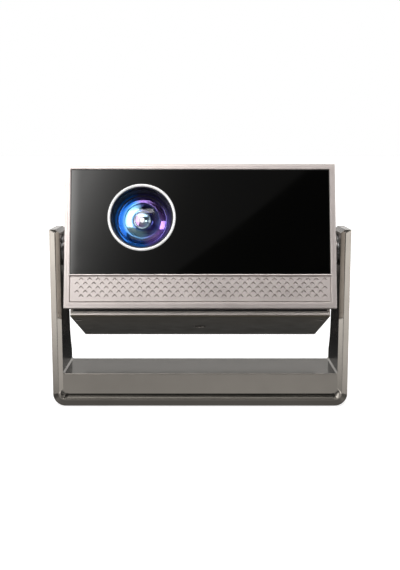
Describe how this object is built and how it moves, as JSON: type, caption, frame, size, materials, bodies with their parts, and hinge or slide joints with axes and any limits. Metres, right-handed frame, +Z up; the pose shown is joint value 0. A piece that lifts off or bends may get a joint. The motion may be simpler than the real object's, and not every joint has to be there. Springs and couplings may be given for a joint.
{
  "type": "home projector",
  "caption": "Box-shaped home projector with a black glass front, off-centre lens and lower speaker grille, tilting between the arms of a U-shaped metal stand.",
  "frame": {"origin": "centre of the stand's resting pad, on the surface it stands on", "axes": "+Z up; +X to the right of someone who faces the lens; +Y towards the back, so the lens looks along -Y"},
  "size_m": [0.2976, 0.1878, 0.2428],
  "materials": {
    "stand_metal": "satin titanium-coloured coating",
    "champagne_metal": "satin champagne anodised",
    "housing_metal": "fine satin coating",
    "black_glass": "polished, tinted",
    "black_plastic": "fine moulded texture",
    "rubber": "matt",
    "steel": "plated",
    "bright_metal": "polished",
    "brass": "machined",
    "cast_iron": "as cast, oiled",
    "coated_glass": "polished, with a blue-violet coating",
    "clear_glass": "polished",
    "mirror": "front-silvered",
    "bare_aluminium": "extruded",
    "circuit_board": "solder resist",
    "phosphor": "cast"
  },
  "bodies": {
    "stand": {"stand_frame": "stand_metal", "stand_ballast": "cast_iron", "stand_bottom_cover": "black_plastic", "stand_foot_pad": "rubber", "stand_screws": "steel", "hinge_bush_left": "brass", "hinge_bush_right": "brass", "hinge_washer_left": "steel", "hinge_washer_right": "steel", "arm_cap_left": "stand_metal", "arm_cap_right": "stand_metal"},
    "projector": {"bezel": "champagne_metal", "front_glass": "black_glass", "speaker_grille": "champagne_metal", "front_carrier": "black_plastic", "housing_shell": "housing_metal", "bottom_cover": "housing_metal", "rear_cover": "black_plastic", "cover_screws": "steel", "screw_plugs": "rubber", "tripod_insert": "brass", "hinge_shaft_left": "steel", "hinge_shaft_right": "steel", "hub_left": "champagne_metal", "hub_right": "champagne_metal", "hinge_nuts": "steel", "lens_ring": "bright_metal", "lens_shroud": "black_plastic", "lens_holder": "black_plastic", "focus_motor": "steel", "light_tunnel": "black_plastic", "fold_mirror": "mirror", "field_lens": "clear_glass", "lcd_panel": "black_glass", "polarizer": "clear_glass", "collimator_lens": "clear_glass", "condenser_lens": "clear_glass", "led_reflector": "mirror", "led_module": "phosphor", "heat_sink": "bare_aluminium", "exhaust_fan_frame": "black_plastic", "panel_fan_frame": "black_plastic", "speaker_left": "black_plastic", "speaker_right": "black_plastic", "main_board": "circuit_board", "power_board": "circuit_board", "hdmi_socket": "steel", "usb_socket": "steel", "audio_jack": "black_plastic", "mains_inlet": "black_plastic", "button_switch": "circuit_board", "infrared_window": "black_glass"},
    "lens_barrel": {"lens_barrel": "black_plastic", "front_lens": "coated_glass", "middle_lens": "coated_glass", "rear_lens": "clear_glass"},
    "focus_screw": {"focus_screw": "steel"},
    "exhaust_rotor": {"exhaust_fan_rotor": "black_plastic"},
    "panel_rotor": {"panel_fan_rotor": "black_plastic"},
    "power_button": {"power_button": "champagne_metal"}
  },
  "joints": [
    {"name": "body_tilt", "type": "hinge", "parent": "stand", "child": "projector", "pos_m": [0, -0.0093, 0.1567], "axis": [-1, 0, 0], "range_deg": [-47, 83]},
    {"name": "lens_focus", "type": "slide", "parent": "projector", "child": "lens_barrel", "axis": [0, 0.9563, -0.2924], "range_m": [-0.0025, 0.0025]},
    {"name": "focus_screw_spin", "type": "hinge", "parent": "projector", "child": "focus_screw", "pos_m": [-0.0157, -0.04037, 0.18743], "axis": [0, 0.9563, -0.2924], "range_deg": [-452, 452]},
    {"name": "exhaust_fan_spin", "type": "hinge", "parent": "projector", "child": "exhaust_rotor", "pos_m": [0.115, 0.04158, 0.16237], "axis": [1, 0, 0], "continuous": true},
    {"name": "panel_fan_spin", "type": "hinge", "parent": "projector", "child": "panel_rotor", "pos_m": [0.012, 0.02696, 0.11456], "axis": [0, 0.2924, 0.9563], "continuous": true},
    {"name": "power_button_press", "type": "slide", "parent": "projector", "child": "power_button", "axis": [0, -0.9563, 0.2924], "range_m": [0, 0.0008], "stiffness_N_per_m": 800, "springref_m": -0.001}
  ],
  "couplings": [
    {"joint": "focus_screw_spin", "follows": "lens_focus", "rad_per_m": 3141.6}
  ]
}
